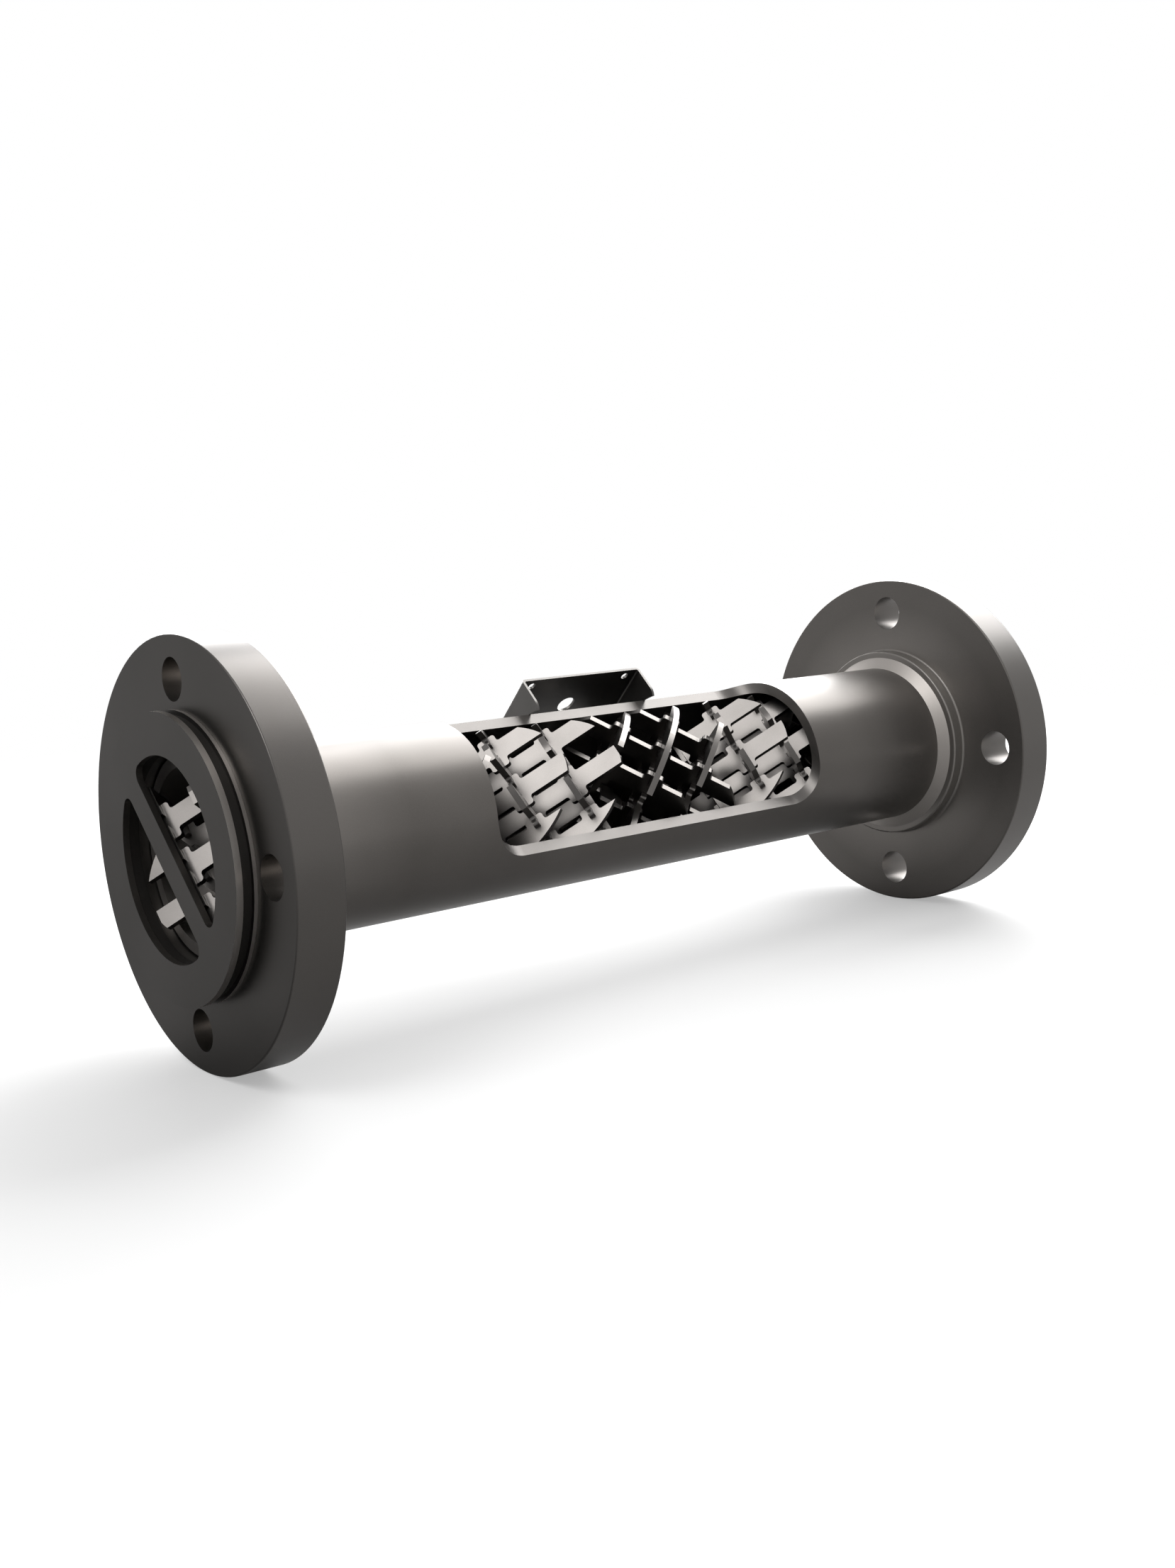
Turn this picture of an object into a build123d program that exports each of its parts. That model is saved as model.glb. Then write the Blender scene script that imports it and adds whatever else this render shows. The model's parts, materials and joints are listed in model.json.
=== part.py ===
# A static mixer for a three inch pipeline: a flanged pipe housing with a sight
# window cut in its side, and six mixing elements of crossed diagonal bars inside.
# Millimetres. The pipe runs along X, Z is up, and the origin is the centre of the
# retaining plate's outer face, at the front end.

from build123d import *
from math import sqrt
import os

# Housing pipe
pipe_outer_radius = 44.45
pipe_wall = 5.49
pipe_recess = 4.5            # the pipe ends stop this far inside the raised faces

# Slip-on flanges
flange_clearance = 0.9       # radial gap between the pipe and the flange bore
hub_wall = 8.65              # hub metal around the flange bore
hub_length = 7.5
flange_thickness = 22.0      # without the raised face
bolt_seat = 22.2             # from the hub's side out to the bolt circle
bolt_hole_radius = 9.525
bolt_count = 4
bolt_rim = 19.05             # from the bolt circle out to the rim
raised_face_height = 1.6
raised_face_margin = 3.175   # from the raised face out to the bolt holes
rim_round = 0.8
hub_round = 1.0
hub_base_round = 1.2

# Welds between the hubs and the pipe
weld_length = 3.4            # along the pipe
weld_height = 6.05           # up the hub's end face

# Parts that hold the elements in at the two ends
plate_thickness = 3.0
plate_bar_width = 13.0
plate_lip = 0.35             # how far the plate reaches inside the flange bore
plate_corner_radius = 5.0
spacer_thickness = 4.8
spacer_inset = 2.0           # the spacer's rim lies this far inside the plate's rim
stop_ring_length = 5.0
stop_ring_width = 6.0

# Mixing elements
element_count = 6
element_clearance = 0.96     # radial gap between the elements and the pipe's bore
element_length = 74.5
element_gap = 0.1            # between one element and the next
plate_to_element = 0.5
end_margin = 3.8             # from an element's end to its outer rows, on the axis
sheet_thickness = 3.0
bars_across = 6
rim_margin = 0.5             # left over at each side of the bars across the bore
bar_gap = 2.4                # between neighbouring bars, seen from the end
tab_length = 9.6
tab_overlap = 3.0            # how far a tab reaches past the line where bars meet
tab_round = 1.4
slot_clearance = 0.2         # how much wider a slot is than the sheet in it
outlet_run = 33.4            # free length behind the last element

# Sight window in the side of the pipe
window_height = 16.2         # from the pipe's axis to the cut faces
window_length = 212.0
window_offset = 0.8          # from the pipe's middle towards the rear
window_corner_radius = 17.0
window_turn = 45.0           # degrees from straight up, towards the front side

# Label bracket folded from sheet
bracket_length = 77.8
bracket_width = 50.8
bracket_thickness = 1.27
bracket_standoff = 12.55     # from the pipe's outside to the bracket's top
bracket_offset = 0.4         # from the pipe's middle towards the rear
bracket_bend_radius = 1.0
foot_wrap = 8.55             # how far the legs reach down beside the pipe's crown
foot_corner_radius = 6.5
rivet_hole_radius = 2.0
rivet_hole_end = 7.9         # from the bracket's ends
rivet_hole_side = 4.4        # from the bracket's long edges
lock_hole_radius = 5.0
lock_hole_offset = 3.2       # from the bracket's middle towards the window

# Sizes that follow from those above
pipe_bore_radius = pipe_outer_radius - pipe_wall
flange_bore_radius = pipe_outer_radius + flange_clearance
hub_radius = flange_bore_radius + hub_wall
bolt_circle_radius = hub_radius + bolt_seat
flange_radius = bolt_circle_radius + bolt_rim
raised_face_radius = bolt_circle_radius - bolt_hole_radius - raised_face_margin

element_radius = pipe_bore_radius - element_clearance
element_pitch = element_length + element_gap
bar_pitch = (2 * element_radius - 2 * rim_margin) / bars_across
bar_width = bar_pitch - bar_gap
row_pitch = element_length / 2 - end_margin

# Places along the axis, from the front to the rear
front_face_x = plate_thickness + spacer_thickness
elements_start_x = plate_thickness + plate_to_element
elements_end_x = elements_start_x + element_count * element_pitch
rear_face_x = elements_end_x + outlet_run
pipe_start_x = front_face_x + pipe_recess
pipe_end_x = rear_face_x - pipe_recess
pipe_middle_x = (pipe_start_x + pipe_end_x) / 2
front_hub_end_x = front_face_x + raised_face_height + flange_thickness + hub_length
rear_hub_end_x = rear_face_x - raised_face_height - flange_thickness - hub_length

# Directions. The window faces the way called outward, and the label bracket
# stands on the pipe a quarter turn from it, the way called aside.
along = Vector(1, 0, 0)
outward = Vector(0, 0, 1).rotate(Axis.X, window_turn)
aside = Vector(0, 0, 1).rotate(Axis.X, window_turn - 90)

os.makedirs("parts", exist_ok=True)


def save(part, name):
    """Label a finished piece and write it under its own name."""
    part.label = name
    export_step(part, f"parts/{name}.step")


def circles_at(part, radius, x):
    """The circular edges of a part with this radius, at this place on the axis."""
    return part.edges().filter_by(
        lambda e: e.geom_type == GeomType.CIRCLE
        and abs(e.radius - radius) < 0.001
        and abs(e.arc_center.X - x) < 0.001
        and abs(e.arc_center.Y) < 0.001
    )


def tube(start_x, end_x, inner_radius, outer_radius):
    """A plain ring or tube on the axis, from one place to another."""
    with BuildPart() as ring:
        with BuildSketch(Plane.YZ.offset(start_x)):
            Circle(outer_radius)
            Circle(inner_radius, mode=Mode.SUBTRACT)
        extrude(amount=end_x - start_x)
    return ring.part


def flange(face_x, inwards):
    """A flange with its raised face at face_x. Its hub points inwards, +1 or -1."""
    back_x = face_x + inwards * (raised_face_height + flange_thickness)
    hub_end_x = back_x + inwards * hub_length
    front_x = face_x + inwards * raised_face_height
    with BuildPart() as body:
        with BuildSketch(Plane.YZ.offset(face_x)):
            Circle(raised_face_radius)
        extrude(amount=inwards * raised_face_height)
        with BuildSketch(Plane.YZ.offset(front_x)):
            Circle(flange_radius)
        extrude(amount=inwards * flange_thickness)
        with BuildSketch(Plane.YZ.offset(back_x)):
            Circle(hub_radius)
        extrude(amount=inwards * hub_length)
        fillet(circles_at(body, hub_radius, back_x), radius=hub_base_round)
        fillet(circles_at(body, hub_radius, hub_end_x), radius=hub_round)
        fillet(circles_at(body, flange_radius, front_x), radius=rim_round)
        fillet(circles_at(body, flange_radius, back_x), radius=rim_round)
        with BuildSketch(Plane.YZ.offset(face_x)):
            Circle(flange_bore_radius)
            with PolarLocations(bolt_circle_radius, bolt_count):
                Circle(bolt_hole_radius)
        extrude(amount=hub_end_x - face_x, mode=Mode.SUBTRACT)
    return body.part


def weld(hub_end_x, inwards):
    """The sloping bead in the corner between a hub's end face and the pipe."""
    with BuildPart() as bead:
        with BuildSketch(Plane.XY):
            with BuildLine():
                Polyline(
                    (hub_end_x, pipe_outer_radius),
                    (hub_end_x, pipe_outer_radius + weld_height),
                    (hub_end_x + inwards * weld_length, pipe_outer_radius),
                    close=True,
                )
            make_face()
        revolve(axis=Axis.X)
    return bead.part


# The two flanges, set towards each other
save(flange(front_face_x, 1), "front_flange")
save(flange(rear_face_x, -1), "rear_flange")

# The welds that hold them to the pipe
save(weld(front_hub_end_x, 1), "front_weld")
save(weld(rear_hub_end_x, -1), "rear_weld")

# The housing pipe. Its window is cut straight across, with flat cut faces.
with BuildPart() as housing_pipe:
    with BuildSketch(Plane.YZ.offset(pipe_start_x)):
        Circle(pipe_outer_radius)
        Circle(pipe_bore_radius, mode=Mode.SUBTRACT)
    extrude(amount=pipe_end_x - pipe_start_x)
    window_middle_x = pipe_middle_x + window_offset
    window_top = 2 * pipe_outer_radius
    window_plane = Plane(
        origin=(window_middle_x, 0, 0), x_dir=along, z_dir=along.cross(outward)
    )
    with BuildSketch(window_plane) as window:
        with Locations((0, window_height)):
            Rectangle(window_length, window_top, align=(Align.CENTER, Align.MIN))
        fillet(window.vertices().group_by(Axis.Y)[0], radius=window_corner_radius)
    extrude(amount=2 * pipe_outer_radius, both=True, mode=Mode.SUBTRACT)
save(housing_pipe.part, "housing_pipe")

# The retaining plate: a disc with two D-shaped openings and a bar between them,
# which holds the first element in.
with BuildPart() as retaining_plate:
    plate_plane = Plane(origin=(0, 0, 0), x_dir=outward, z_dir=along)
    with BuildSketch(plate_plane):
        Circle(raised_face_radius)
    extrude(amount=plate_thickness)
    with BuildSketch(plate_plane) as openings:
        Circle(flange_bore_radius - plate_lip)
        Rectangle(plate_bar_width, 4 * flange_bore_radius, mode=Mode.SUBTRACT)
        fillet(openings.vertices(), radius=plate_corner_radius)
    extrude(amount=plate_thickness, mode=Mode.SUBTRACT)
save(retaining_plate.part, "retaining_plate")

# The spacer ring between the plate and the front flange
spacer_radius = raised_face_radius - spacer_inset
spacer_ring = tube(plate_thickness, front_face_x, flange_bore_radius, spacer_radius)
save(spacer_ring, "spacer_ring")

# The stop ring in the bore behind the last element
stop_start_x = elements_end_x
stop_radius = pipe_bore_radius - stop_ring_width
stop_ring = tube(
    stop_start_x, stop_start_x + stop_ring_length, stop_radius, pipe_bore_radius
)
save(stop_ring, "rear_stop_ring")

# The label bracket: a channel folded from sheet, with its legs cut to the pipe
with BuildPart() as label_bracket:
    bracket_x = pipe_middle_x + bracket_offset
    bracket_top = pipe_outer_radius + bracket_standoff
    bracket_low = pipe_outer_radius - foot_wrap
    bracket_height = bracket_top - bracket_low
    end_plane = Plane(origin=(bracket_x, 0, 0), x_dir=along, z_dir=outward)
    with BuildSketch(end_plane) as channel:
        with Locations((0, bracket_top)):
            Rectangle(
                bracket_length, bracket_height, align=(Align.CENTER, Align.MAX)
            )
        fillet(
            channel.vertices().group_by(Axis.Y)[-1],
            radius=bracket_bend_radius + bracket_thickness,
        )
    extrude(amount=bracket_width / 2, both=True)
    with BuildSketch(end_plane) as hollow:
        with Locations((0, bracket_top - bracket_thickness)):
            Rectangle(
                bracket_length - 2 * bracket_thickness,
                bracket_height,
                align=(Align.CENTER, Align.MAX),
            )
        fillet(hollow.vertices().group_by(Axis.Y)[-1], radius=bracket_bend_radius)
    extrude(amount=bracket_width, both=True, mode=Mode.SUBTRACT)
    side_plane = Plane(
        origin=(bracket_x, 0, 0), x_dir=outward, z_dir=outward.cross(aside)
    )
    with BuildSketch(side_plane) as legs:
        with Locations((0, bracket_low)):
            Rectangle(
                bracket_width, 2 * bracket_height, align=(Align.CENTER, Align.MIN)
            )
        fillet(legs.vertices().group_by(Axis.Y)[0], radius=foot_corner_radius)
    extrude(amount=bracket_length, both=True, mode=Mode.INTERSECT)
    with BuildSketch(Plane.YZ.offset(bracket_x)):
        Circle(pipe_outer_radius)
    extrude(amount=bracket_length, both=True, mode=Mode.SUBTRACT)
    web_middle = along * bracket_x + aside * bracket_top
    with BuildSketch(Plane(origin=web_middle, x_dir=outward, z_dir=aside)):
        with GridLocations(
            bracket_width - 2 * rivet_hole_side, bracket_length - 2 * rivet_hole_end, 2, 2
        ):
            Circle(rivet_hole_radius)
        with Locations((lock_hole_offset, 0)):
            Circle(lock_hole_radius)
    extrude(amount=-2 * bracket_thickness, mode=Mode.SUBTRACT)
save(label_bracket.part, "label_bracket")


def bar_profile(index, crossings):
    """One bar of a row, lying along local X, with its half-slotted tabs.

    Bars are numbered across the bore. Each crossing is the place along the bar
    where a bar of the other slope passes.
    """
    middle = (index - (bars_across - 1) / 2) * bar_pitch
    lower = index > 0
    upper = index < bars_across - 1
    reach = bar_pitch / 2 + tab_overlap
    low = middle - (bar_width / 2 if lower else bar_pitch)
    high = middle + (bar_width / 2 if upper else bar_pitch)
    tab_low = middle - reach if lower else middle
    tab_high = middle + reach if upper else middle
    with BuildSketch() as profile:
        with Locations((0, (low + high) / 2)):
            Rectangle(8 * element_radius, high - low)
        with Locations([(u, (tab_low + tab_high) / 2) for u in crossings]):
            Rectangle(tab_length, tab_high - tab_low)
        corners = profile.vertices().filter_by(lambda v: abs(v.X) < 2 * element_radius)
        fillet(corners, radius=min(tab_round, 0.4 * (reach - bar_width / 2)))
        slot_width = sheet_thickness + slot_clearance
        if upper:
            with Locations([(u, middle + bar_pitch / 2) for u in crossings]):
                Rectangle(
                    slot_width,
                    2 * tab_overlap,
                    align=(Align.CENTER, Align.MIN),
                    mode=Mode.SUBTRACT,
                )
        if lower:
            with Locations([(u, middle - bar_pitch / 2) for u in crossings]):
                Rectangle(
                    slot_width,
                    2 * tab_overlap,
                    align=(Align.CENTER, Align.MAX),
                    mode=Mode.SUBTRACT,
                )
    return profile.sketch


def mixing_row(slope, row):
    """One row of an element: every second bar across the bore, in one plane.

    The row is made for an element in the middle of the axis. Its bars climb
    outwards, forwards or backwards by slope, and the row is the first, middle
    or last of its slope: -1, 0 or 1.
    """
    other_rows = [other for other in (-1, 0, 1) if abs(other - row) <= 1]
    crossings = [slope * (other - row) * row_pitch / sqrt(2) for other in other_rows]
    half_length = element_length / 2
    from_front = (half_length + row * row_pitch) * sqrt(2) - sheet_thickness / 2
    from_rear = (half_length - row * row_pitch) * sqrt(2) - sheet_thickness / 2
    low_end, high_end = (-from_front, from_rear) if slope > 0 else (-from_rear, from_front)
    first_bar = 0 if slope > 0 else 1
    direction = (along * slope + outward).normalized()
    row_plane = Plane(
        origin=(row * row_pitch, 0, 0), x_dir=direction, z_dir=direction.cross(aside)
    )
    profiles = [
        bar_profile(index, crossings) for index in range(first_bar, bars_across, 2)
    ]
    with BuildPart() as bars:
        for profile in profiles:
            with BuildSketch(row_plane):
                add(profile)
                with Locations((low_end, 0)):
                    Rectangle(
                        high_end - low_end,
                        4 * element_radius,
                        align=(Align.MIN, Align.CENTER),
                        mode=Mode.INTERSECT,
                    )
                for shift in (-sheet_thickness / 2, sheet_thickness / 2):
                    with Locations((shift, 0)):
                        Ellipse(
                            element_radius * sqrt(2),
                            element_radius,
                            mode=Mode.INTERSECT,
                        )
            extrude(amount=sheet_thickness / 2, both=True)
    return bars.part


# The mixing elements are alike. Each one is turned a quarter turn from the one
# before it.
for slope, slope_name in ((1, "rising"), (-1, "falling")):
    for row, row_name in ((-1, "front"), (0, "middle"), (1, "rear")):
        row_bars = mixing_row(slope, row)
        for number in range(element_count):
            middle_x = elements_start_x + number * element_pitch + element_length / 2
            turn = 90 * (number % 2)
            save(
                row_bars.moved(Location((middle_x, 0, 0), (turn, 0, 0))),
                f"mixing_element_{number + 1}_{slope_name}_{row_name}_row",
            )
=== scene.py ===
# %% [markdown]
# # A flanged static mixer, dressed for its portrait
# The object is a short steel pipe with a round flange at each end. A long window is
# cut in its side, and through it one sees six packs of crossed diagonal bars that
# stir whatever flows past. Nothing on it moves.
#
# The exact shapes come from a CAD model that is loaded first. All of them are right
# as they are, so this lesson is about surfaces: how a turned face, a brushed tube,
# a dressed weld and a laser-cut bar differ, although all four are the same steel.

import bpy
import json
import math
from mathutils import Matrix, Vector


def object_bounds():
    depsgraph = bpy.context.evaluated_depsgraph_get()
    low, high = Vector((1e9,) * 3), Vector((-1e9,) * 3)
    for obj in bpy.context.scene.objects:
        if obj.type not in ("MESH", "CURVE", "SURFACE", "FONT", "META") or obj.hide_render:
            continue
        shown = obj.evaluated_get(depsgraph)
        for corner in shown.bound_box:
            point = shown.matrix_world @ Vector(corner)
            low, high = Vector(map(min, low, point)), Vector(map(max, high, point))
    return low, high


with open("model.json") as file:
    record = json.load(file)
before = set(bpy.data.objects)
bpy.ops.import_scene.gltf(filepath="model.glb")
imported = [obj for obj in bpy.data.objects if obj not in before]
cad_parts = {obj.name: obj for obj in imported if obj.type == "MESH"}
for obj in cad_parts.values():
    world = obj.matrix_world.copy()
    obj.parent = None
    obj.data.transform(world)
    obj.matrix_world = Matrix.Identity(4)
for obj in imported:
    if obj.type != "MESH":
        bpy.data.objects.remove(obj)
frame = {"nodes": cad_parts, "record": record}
cad_low, cad_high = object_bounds()
bpy.ops.object.select_all(action="DESELECT")
scene = bpy.context.scene
print("CAD pieces:", len(frame["nodes"]))
print("CAD box in millimetres:", [round(1000 * v) for v in cad_high - cad_low])

# %% [markdown]
# ## Where the camera stands
# The portrait looks along the pipe from the inlet end, a little from above. The
# place and the turn below were found by matching the round rims of both flanges,
# so they are written out as numbers and not aimed by eye. The sensor's 36 mm go
# with the taller side of the picture.

# %% The camera
camera_place = Vector((-0.281075, -0.645527, 0.114136))
camera_turn = Matrix(
    (
        (0.77890, 0.12583, -0.61440),
        (-0.62474, 0.06980, -0.77771),
        (-0.05498, 0.98959, 0.13298),
    )
)
camera_data = bpy.data.cameras.new("portrait_camera")
camera_data.sensor_width = 36
camera_data.lens = 37.405
camera_data.clip_start = 0.01
camera = bpy.data.objects.new("portrait_camera", camera_data)
scene.collection.objects.link(camera)
camera.matrix_world = Matrix.Translation(camera_place) @ camera_turn.to_4x4()
scene.camera = camera
mixer_middle = Vector((0.24, 0, 0))
print("camera to mixer:", round((camera_place - mixer_middle).length, 3), "m")

# %% [markdown]
# ## Small helpers for building materials
# A material is a little network: textures on the left, the shader on the right.
# Writing each node out by hand takes many lines, so three helpers do the typing:
# one adds a node, one joins two sockets, and one starts a new steel. Steel's gloss
# varies from place to place, so each steel makes its roughness later.

# %% Node helpers
def add_node(tree, kind, **settings):
    node = tree.nodes.new(kind)
    for name, value in settings.items():
        if name in node.inputs:
            node.inputs[name].default_value = value
        else:
            setattr(node, name, value)
    return node


def join(tree, source, target):
    tree.links.new(source, target)


def start_steel(name, metallic=1.0):
    """A new steel. Returns its material, tree, shader and the object coordinates."""
    material = bpy.data.materials.new(name)
    material.use_nodes = True
    tree = material.node_tree
    shader = tree.nodes["Principled BSDF"]
    shader.inputs["Metallic"].default_value = metallic
    place = add_node(tree, "ShaderNodeTexCoord").outputs["Object"]
    return material, tree, shader, place


# %% [markdown]
# ## Grain, in three kinds
# Machined steel is never quite smooth. A grinding belt leaves short scratches that
# run round the tube, a lathe leaves fine rings on a flat face, and a blasted or
# rolled sheet has no direction at all. The three kinds differ only in how the
# coordinates are stretched before they reach a noise texture, so one function
# takes the stretched coordinates and makes the grain from them. A picture of
# scratches could do the same work, but it would need to be unwrapped and kept in a
# file. Noise on the object's own coordinates needs neither, and it has no seams.

# %% Grain from stretched coordinates
sparkle_per_metre = 3800
sparkle_range = (0.3, 0.7)


def stretched(tree, place, per_metre):
    """Coordinates with this many steps in a metre: one number, or one for each axis."""
    if isinstance(per_metre, (int, float)):
        per_metre = (per_metre,) * 3
    node = add_node(tree, "ShaderNodeMapping")
    node.inputs["Scale"].default_value = per_metre
    join(tree, place, node.inputs["Vector"])
    return node.outputs["Vector"]


def noise(tree, vector, detail=2.0):
    node = add_node(tree, "ShaderNodeTexNoise", Scale=1.0, Detail=detail, Roughness=0.5)
    join(tree, vector, node.inputs["Vector"])
    return node.outputs["Fac"]


def math_node(tree, operation, first, second=None):
    node = add_node(tree, "ShaderNodeMath", operation=operation)
    for socket, value in zip(node.inputs, (first, second)):
        if value is None:
            continue
        if isinstance(value, (int, float)):
            socket.default_value = value
        else:
            join(tree, value, socket)
    return node.outputs[0]


def spread(tree, value, low, high, new_low, new_high):
    """Value from low..high, drawn out to new_low..new_high."""
    node = add_node(tree, "ShaderNodeMapRange")
    node.inputs["From Min"].default_value = low
    node.inputs["From Max"].default_value = high
    node.inputs["To Min"].default_value = new_low
    node.inputs["To Max"].default_value = new_high
    join(tree, value, node.inputs["Value"])
    return node.outputs["Result"]


def blend_colour(tree, factor, first, second):
    """A mix of two colours. Each is three numbers or another node's output."""
    node = add_node(tree, "ShaderNodeMix", data_type="RGBA")
    join(tree, factor, node.inputs["Factor"])
    for socket, colour in zip((node.inputs["A"], node.inputs["B"]), (first, second)):
        if isinstance(colour, tuple):
            socket.default_value = (*colour, 1)
        else:
            join(tree, colour, socket)
    return node.outputs["Result"]


def mottle(tree, cloud, sparkle):
    """Broad clouds and fine grain together, as a factor from 0 to 1."""
    return spread(tree, math_node(tree, "ADD", cloud, sparkle), 0.7, 1.3, 0, 1)


def brushed_grain(tree, strokes, sparkle):
    """The relief of a worked face: more of its strokes and less of its sparkle."""
    strokes = math_node(tree, "MULTIPLY", strokes, 0.6)
    sparkle = math_node(tree, "MULTIPLY", sparkle, 0.4)
    return math_node(tree, "ADD", strokes, sparkle)


def add_bump(tree, shader, height, depth):
    """Relief of this depth in metres, from a height of 0 to 1."""
    node = add_node(tree, "ShaderNodeBump", Strength=1.0, Distance=depth)
    join(tree, height, node.inputs["Height"])
    join(tree, node.outputs["Normal"], shader.inputs["Normal"])


# %% [markdown]
# ## The brushed tube
# The tube was polished with a belt that ran round it. The scratches are a third of
# a millimetre apart and a few millimetres long. Close up they show as a fine
# sparkle where the light falls off. Near both flanges the tube's colour is paler,
# which is painted soft light. The flat faces of the window's cut
# are younger metal than the skin, and have a tone of their own.
#
# Each of these places could be a piece with its own material. One material can
# also find them by itself, and then the tones run into each other softly. A face
# belongs to a cut when its normal doesn't point away from the pipe's axis, and the
# painted light near the flanges grows where a place is far from the middle of the pipe.

# %% Tube steel
def radial_part(tree, place):
    """How squarely the surface faces away from the pipe's axis, from 0 to 1."""
    across = add_node(tree, "ShaderNodeVectorMath", operation="MULTIPLY")
    across.inputs[1].default_value = (0, 1, 1)
    join(tree, place, across.inputs[0])
    away = add_node(tree, "ShaderNodeVectorMath", operation="NORMALIZE")
    join(tree, across.outputs["Vector"], away.inputs[0])
    normal = add_node(tree, "ShaderNodeTexCoord").outputs["Normal"]
    dot = add_node(tree, "ShaderNodeVectorMath", operation="DOT_PRODUCT")
    join(tree, away.outputs["Vector"], dot.inputs[0])
    join(tree, normal, dot.inputs[1])
    return math_node(tree, "ABSOLUTE", dot.outputs["Value"])


plain_skin = ((0.086, 0.079, 0.073), (0.106, 0.098, 0.091))
# The paler colour near both flanges is painted soft light.
painted_light_skin = ((0.142, 0.132, 0.123), (0.174, 0.162, 0.151))
window_cut = ((0.096, 0.090, 0.085), (0.122, 0.115, 0.109))
pipe_middle_x = 0.2462
painted_light_starts, painted_light_full = 0.150, 0.208
scratches_per_metre = (3200, 420, 420)

tube_steel, tree, shader, place = start_steel("tube_steel", metallic=0.8)
brushing = noise(tree, stretched(tree, place, scratches_per_metre), detail=3)
sparkle = noise(tree, stretched(tree, place, sparkle_per_metre))
cloud = mottle(tree, noise(tree, stretched(tree, place, 22)), sparkle)
parts = add_node(tree, "ShaderNodeSeparateXYZ")
join(tree, place, parts.inputs[0])
along_pipe = math_node(tree, "SUBTRACT", parts.outputs["X"], pipe_middle_x)
from_middle = math_node(tree, "ABSOLUTE", along_pipe)
# Mask for the paler colour near both flanges: painted light.
painted_light_near_flanges = spread(tree, from_middle, painted_light_starts, painted_light_full, 0, 1)
cut_face = spread(tree, radial_part(tree, place), 0.93, 0.97, 1, 0)
skin = blend_colour(tree, cloud, *plain_skin)
skin = blend_colour(tree, painted_light_near_flanges, skin, blend_colour(tree, cloud, *painted_light_skin))
fresh_cut = blend_colour(tree, cloud, *window_cut)
join(tree, blend_colour(tree, cut_face, skin, fresh_cut), shader.inputs["Base Color"])
join(tree, spread(tree, sparkle, *sparkle_range, 0.31, 0.41), shader.inputs["Roughness"])
add_bump(tree, shader, brushed_grain(tree, brushing, sparkle), 0.000005)
print("tube_steel:", len(tree.nodes), "nodes")

# %% [markdown]
# ## The turned flanges
# A flange is faced on a lathe, and the tool leaves rings a fraction of a millimetre
# apart. The rings only depend on the distance from the axis and on the place along
# it, so the noise reads those two numbers and nothing else.
#
# The broad faces, the rim, the bolt holes, the hub and the edges of the openings
# were each made with another tool, so each has another tone. The much paler sides,
# on the edge of the raised face, round the plate and on the rear hub, are painted
# highlights. They all lie round the same axis, so a tone is a zone that begins at a
# radius, and the normal tells a flat face from a side. A metal turns pale where it is
# seen almost edge-on. A finely blasted face does that less, so the flat faces have a
# lower Specular Tint. The plate, the spacer, the stop ring and the welds are round
# too, and use the same function with fewer zones.

# %% Flange steel
def distance_from_axis(tree, place):
    across = add_node(tree, "ShaderNodeVectorMath", operation="MULTIPLY")
    across.inputs[1].default_value = (0, 1, 1)
    join(tree, place, across.inputs[0])
    length = add_node(tree, "ShaderNodeVectorMath", operation="LENGTH")
    join(tree, across.outputs["Vector"], length.inputs[0])
    return length.outputs["Value"]


def turned_coordinates(tree, place, rings_per_metre):
    """Coordinates in which a noise texture becomes lathe rings."""
    parts = add_node(tree, "ShaderNodeSeparateXYZ")
    join(tree, place, parts.inputs[0])
    joined = add_node(tree, "ShaderNodeCombineXYZ")
    distances = (distance_from_axis(tree, place), parts.outputs["X"])
    for distance, socket in zip(distances, joined.inputs):
        join(tree, math_node(tree, "MULTIPLY", distance, rings_per_metre), socket)
    return joined.outputs[0]


def sideways_part(tree):
    """0 where the surface faces along the pipe, 1 where it faces away from that."""
    parts = add_node(tree, "ShaderNodeSeparateXYZ")
    join(tree, add_node(tree, "ShaderNodeTexCoord").outputs["Normal"], parts.inputs[0])
    return spread(tree, math_node(tree, "ABSOLUTE", parts.outputs["X"]), 0.2, 0.8, 1, 0)


def colour_by_radius(tree, radius, cloud, zones, softness):
    """Each zone has the radius where it begins, and a darker and a paler colour."""
    colour = blend_colour(tree, cloud, *zones[0][1])
    for start, pair in zones[1:]:
        beyond = spread(tree, radius, start - softness, start + softness, 0, 1)
        colour = blend_colour(tree, beyond, colour, blend_colour(tree, cloud, *pair))
    return colour


soft_border, sharp_border = 0.014, 0.0003


def turned_steel(name, faces, sides, roughness, depth, grazing=1.0, metallic=1.0):
    """Steel off the lathe, with colour zones for its flat faces and for its sides."""
    material, tree, shader, place = start_steel(name, metallic)
    rings = noise(tree, turned_coordinates(tree, place, 2600), detail=3)
    sparkle = noise(tree, stretched(tree, place, sparkle_per_metre))
    cloud = mottle(tree, noise(tree, stretched(tree, place, 16)), sparkle)
    radius = distance_from_axis(tree, place)
    sideways = sideways_part(tree)
    face_colour = colour_by_radius(tree, radius, cloud, faces, soft_border)
    side_colour = colour_by_radius(tree, radius, cloud, sides, sharp_border)
    colour = blend_colour(tree, sideways, face_colour, side_colour)
    join(tree, colour, shader.inputs["Base Color"])
    if grazing < 1:
        tint = blend_colour(tree, sideways, (grazing,) * 3, (1.0, 1.0, 1.0))
        join(tree, tint, shader.inputs["Specular Tint"])
    join(tree, spread(tree, sparkle, *sparkle_range, *roughness), shader.inputs["Roughness"])
    add_bump(tree, shader, brushed_grain(tree, rings, sparkle), depth)
    print(name + ":", len(tree.nodes), "nodes")
    return material


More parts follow.
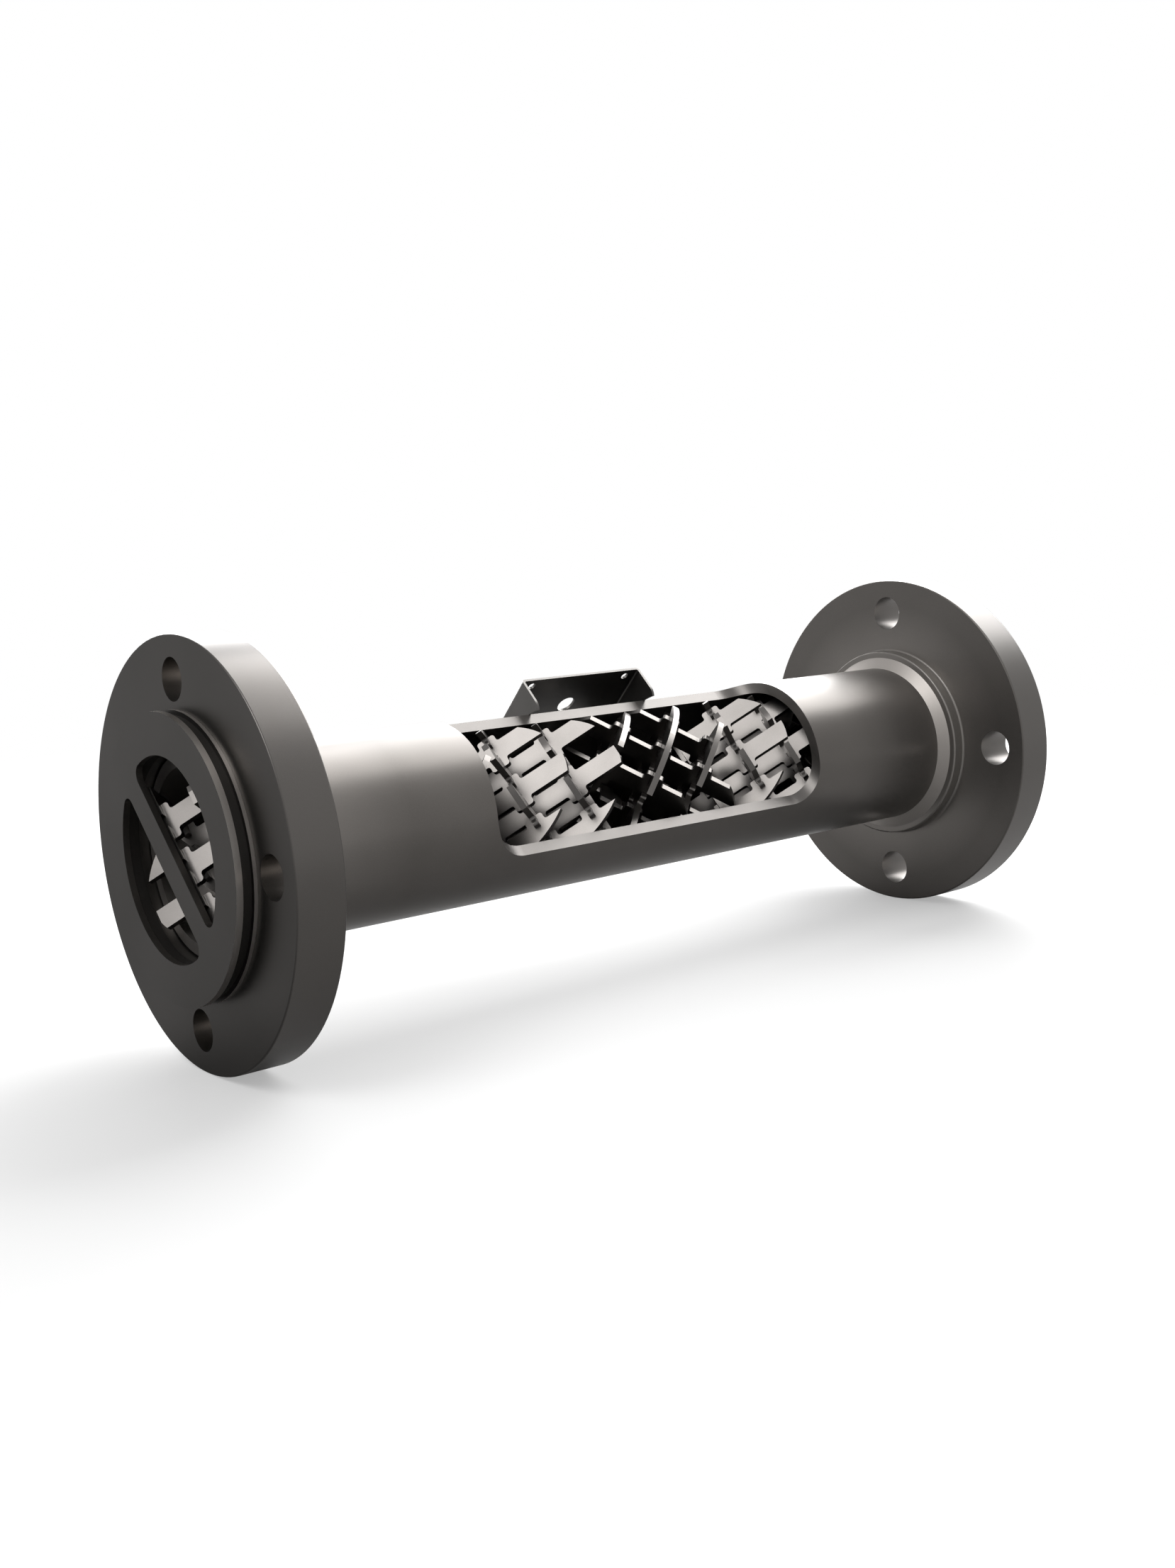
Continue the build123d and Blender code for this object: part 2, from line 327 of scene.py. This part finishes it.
# %% [markdown]
# ## The tones of the round pieces
# Each tone is a darker and a paler colour, which the grain mixes. A zone is the
# radius in metres where it begins, and its tone. The hub ends at 54 mm, the raised
# face at 63.5 mm, and the bolt holes lie between 66.7 and 85.7 mm.

# %% Steel for the flanges, the plate, the rings and the welds
raised_edge_from, bolt_holes_from, rim_from = 0.058, 0.0645, 0.090
face_gloss = (0.30, 0.38)
fine_turning, coarse_turning = 0.000004, 0.000005

front_face = ((0.060, 0.057, 0.054), (0.074, 0.070, 0.067))
front_hub = ((0.100, 0.094, 0.088), (0.125, 0.117, 0.110))
# The side of the raised face is much paler: a painted highlight.
raised_edge_painted_highlight = ((0.57, 0.54, 0.51), (0.64, 0.60, 0.57))
front_hole = ((0.13, 0.120, 0.110), (0.17, 0.158, 0.147))
front_rim = ((0.088, 0.082, 0.077), (0.100, 0.094, 0.089))
flange_steel = turned_steel(
    "flange_steel",
    faces=[(0, front_face)],
    sides=[
        (0, front_hub),
        (raised_edge_from, raised_edge_painted_highlight),
        (bolt_holes_from, front_hole),
        (rim_from, front_rim),
    ],
    roughness=face_gloss,
    depth=fine_turning,
    grazing=0.6,
)

# The rear flange is a paler copy of the front flange's finish: painted light. Near the hub
# its face is paler still, a painted reflection of the lit tube.
hub_painted_reflection = ((0.136, 0.127, 0.119), (0.164, 0.153, 0.143))
rear_face_painted_light = ((0.084, 0.078, 0.073), (0.102, 0.095, 0.089))
# The side of the rear hub is much paler: a painted highlight.
hub_side_painted_highlight = ((0.24, 0.225, 0.21), (0.29, 0.275, 0.26))
rear_hole = ((0.13, 0.122, 0.115), (0.16, 0.151, 0.143))
rear_rim = ((0.086, 0.080, 0.075), (0.099, 0.093, 0.088))
rear_flange_painted_light_steel = turned_steel(
    "rear_flange_painted_light_steel",
    faces=[(0, hub_painted_reflection), (0.067, rear_face_painted_light)],
    sides=[(0, hub_side_painted_highlight), (bolt_holes_from, rear_hole), (rim_from, rear_rim)],
    roughness=(0.34, 0.42),
    depth=fine_turning,
    grazing=0.6,
    metallic=0.8,
)

opening_edge = ((0.13, 0.121, 0.112), (0.16, 0.149, 0.138))
# The plate's outer side is much paler: a painted highlight.
plate_side_painted_highlight = ((0.43, 0.405, 0.38), (0.49, 0.460, 0.435))
plate_steel = turned_steel(
    "plate_steel",
    faces=[(0, front_face)],
    sides=[(0, opening_edge), (0.050, plate_side_painted_highlight)],
    roughness=face_gloss,
    depth=fine_turning,
    grazing=0.6,
)


def plain_turned_steel(name, tone, roughness):
    """Steel off the lathe that is one tone all over."""
    return turned_steel(name, [(0, tone)], [(0, tone)], roughness, coarse_turning)


# The spacer's darker tone is painted shade for the recessed groove it sits in.
spacer_painted_shade = ((0.050, 0.047, 0.044), (0.062, 0.058, 0.055))
spacer_steel = plain_turned_steel("spacer_steel", spacer_painted_shade, (0.40, 0.50))
stop_face = ((0.10, 0.095, 0.09), (0.13, 0.122, 0.115))
stop_steel = plain_turned_steel("stop_steel", stop_face, (0.32, 0.40))
# The rear weld is paler than the front weld, which has the same finish: painted light.
rear_weld_painted_light = ((0.25, 0.233, 0.219), (0.30, 0.280, 0.263))
weld_steel = plain_turned_steel("weld_steel", rear_weld_painted_light, (0.36, 0.46))
front_weld_steel = plain_turned_steel("front_weld_steel", front_hub, (0.36, 0.46))

# %% [markdown]
# ## The mixing bars and the bracket
# Both are cut from sheet. Sheet has no turning rings, only a fine even grain. The
# bars lie inside, where nobody touches them, and they are smooth enough to mirror
# a lamp as a soft bright field. An uneven gloss would break that field into specks,
# so the bars' gloss is almost even and the grain is in their colour. The bracket is
# duller, and its grain is in the gloss as well.

# %% Sheet steel
def sheet_steel(name, tone, roughness, depth):
    """Steel sheet: an even grain in its colour, its gloss and its relief."""
    material, tree, shader, place = start_steel(name)
    sparkle = noise(tree, stretched(tree, place, sparkle_per_metre), detail=1)
    cloud = mottle(tree, noise(tree, stretched(tree, place, 45), detail=3), sparkle)
    join(tree, blend_colour(tree, cloud, *tone), shader.inputs["Base Color"])
    join(tree, spread(tree, sparkle, *sparkle_range, *roughness), shader.inputs["Roughness"])
    add_bump(tree, shader, sparkle, depth)
    print(name + ":", len(tree.nodes), "nodes")
    return material


bar_tone = ((0.104, 0.098, 0.093), (0.134, 0.126, 0.120))
bar_steel = sheet_steel("bar_steel", bar_tone, (0.283, 0.297), 0.0000012)
bracket_tone = ((0.085, 0.082, 0.078), (0.105, 0.10, 0.096))
bracket_steel = sheet_steel("bracket_steel", bracket_tone, (0.32, 0.42), 0.000006)

# %% [markdown]
# ## Dressing the pieces
# The CAD record names a slot for the finish of every piece. A table from slot to
# steel dresses all the pieces in one loop, which is quicker and safer than picking
# them one by one. The two flanges share a slot, and so do the two welds. The rear
# flange and the rear weld get paler copies of that finish, which are painted light.
# The picture doesn't show the front ones, so those stay plain, and two pieces get a
# steel of their own.

# %% Give every CAD piece its steel
steels = {
    "flange_steel": flange_steel,
    "pipe_steel": tube_steel,
    "weld_metal": weld_steel,
    "retaining_plate": plate_steel,
    "spacer_ring": spacer_steel,
    "stop_ring": stop_steel,
    "mixing_bars": bar_steel,
    "bracket_sheet": bracket_steel,
}
slot_of = {part["node"]: part["material_slot"] for part in frame["record"]["subparts"]}
# The rear flange and the front weld get their own steels; the rear flange's is the
# painted-light copy.
own_steel = {"rear_flange": rear_flange_painted_light_steel, "front_weld": front_weld_steel}
for name, piece in frame["nodes"].items():
    piece.data.materials.clear()
    piece.data.materials.append(own_steel.get(name) or steels[slot_of[name]])
print("pieces dressed:", len(slot_of))

# %% [markdown]
# ## The floor
# A plain pale floor carries the mixer's soft shadow. It is a large sheet at the
# height of the flanges' lowest point. Far from the mixer it fades away, so that no
# edge and no horizon crosses the white background.
#
# The open floor has to be white in the picture. More lamps would do that, but they
# would bleach the steel too. So the floor is one grey for the light that it throws
# back on the steel, which keeps the undersides dark, and a paler one for the camera.
# There it is also mixed with plain white, just enough that the open floor is white
# and the shadow stays soft and grey.

# %% The floor
def background_rays(tree, in_gloss=1.0):
    """1 for rays that come from the camera, and in_gloss for those in gloss and glass."""
    path = add_node(tree, "ShaderNodeLightPath").outputs
    mirrored = math_node(tree, "MAXIMUM", path["Is Glossy Ray"], path["Is Transmission Ray"])
    mirrored = math_node(tree, "MULTIPLY", mirrored, in_gloss)
    return math_node(tree, "MAXIMUM", path["Is Camera Ray"], mirrored)


floor_size = 6
floor_gap = 0.0002
fade_starts, fade_ends = 0.7, 1.5
colour_for_lamps, colour_for_camera = 0.28, 0.53
white_mixed_in = 0.38

floor_place = (mixer_middle.x, 0, cad_low.z - floor_gap)
bpy.ops.mesh.primitive_plane_add(size=floor_size, location=floor_place)
floor = bpy.context.object
floor.name = "floor"
bpy.ops.object.transform_apply(location=True, rotation=True, scale=True)
paper = bpy.data.materials.new("floor_paper")
paper.use_nodes = True
tree = paper.node_tree
shader = tree.nodes["Principled BSDF"]
shader.inputs["Roughness"].default_value = 0.9
shader.inputs["Specular IOR Level"].default_value = 0.1
place = add_node(tree, "ShaderNodeTexCoord").outputs["Object"]
offset = add_node(tree, "ShaderNodeVectorMath", operation="DISTANCE")
join(tree, place, offset.inputs[0])
offset.inputs[1].default_value = (mixer_middle.x, 0, cad_low.z)
fade = add_node(tree, "ShaderNodeMapRange", interpolation_type="SMOOTHSTEP")
fade.inputs["From Min"].default_value = fade_starts
fade.inputs["From Max"].default_value = fade_ends
join(tree, offset.outputs["Value"], fade.inputs["Value"])
clear = add_node(tree, "ShaderNodeBsdfTransparent")
white = add_node(tree, "ShaderNodeEmission", Strength=1.0)
white.inputs["Color"].default_value = (1, 1, 1, 1)
whitened = add_node(tree, "ShaderNodeMixShader")
seen = background_rays(tree, 0.1)
floor_colour = spread(tree, seen, 0, 1, colour_for_lamps, colour_for_camera)
join(tree, floor_colour, shader.inputs["Base Color"])
join(tree, math_node(tree, "MULTIPLY", seen, white_mixed_in), whitened.inputs[0])
join(tree, shader.outputs[0], whitened.inputs[1])
join(tree, white.outputs[0], whitened.inputs[2])
faded = add_node(tree, "ShaderNodeMixShader")
join(tree, fade.outputs["Result"], faded.inputs[0])
join(tree, whitened.outputs[0], faded.inputs[1])
join(tree, clear.outputs[0], faded.inputs[2])
join(tree, faded.outputs[0], tree.nodes["Material Output"].inputs["Surface"])
floor.data.materials.append(paper)
print("floor height:", round(1000 * cad_low.z, 1), "mm")

# %% [markdown]
# ## The light
# Steel shows what stands around it. A mirror reflects a ray as steeply as it comes
# in, so one can work out where a lamp has to hang to show up in a surface. The
# tube's top mirrors the sky behind the mixer, high up. The rims of the flanges
# mirror it lower down, on the same side. The broad faces of the bars mirror the sky
# in front of the inlet. So two large soft lamps and a smaller one hang in those
# three places. All the rest is a plain room, which is white where it is seen or
# mirrored, and lights matte surfaces a little less.

# %% Lamps and background
def soft_lamp(name, direction, distance, width, height, radiance):
    """An area lamp that looks at the mixer from this direction."""
    data = bpy.data.lights.new(name, "AREA")
    data.shape = "RECTANGLE"
    data.size = width
    data.size_y = height
    data.energy = radiance * math.pi * width * height
    lamp = bpy.data.objects.new(name, data)
    scene.collection.objects.link(lamp)
    towards = Vector(direction).normalized()
    lamp.location = mixer_middle + distance * towards
    lamp.rotation_euler = (-towards).to_track_quat("-Z", "Y").to_euler()
    lamp.visible_camera = False
    print(name, [round(v, 2) for v in lamp.location], "watts", round(data.energy, 1))


soft_lamp("key_lamp", (0.67, 0.20, 0.715), 2.0, 1.8, 1.52, 8.6)
soft_lamp("rim_lamp", (0.54, 0.76, 0.36), 2.0, 2.2, 1.3, 8.0)
soft_lamp("bar_lamp", (-0.665, -0.11, 0.735), 2.2, 0.95, 1.1, 6.6)

room_light, room_seen = 0.75, 1.0
world = bpy.data.worlds.new("plain_room")
scene.world = world
world.use_nodes = True
tree = world.node_tree
room = tree.nodes["Background"]
room.inputs["Color"].default_value = (1, 1, 1, 1)
room_strength = spread(tree, background_rays(tree), 0, 1, room_light, room_seen)
join(tree, room_strength, room.inputs["Strength"])
scene.view_settings.view_transform = "Standard"
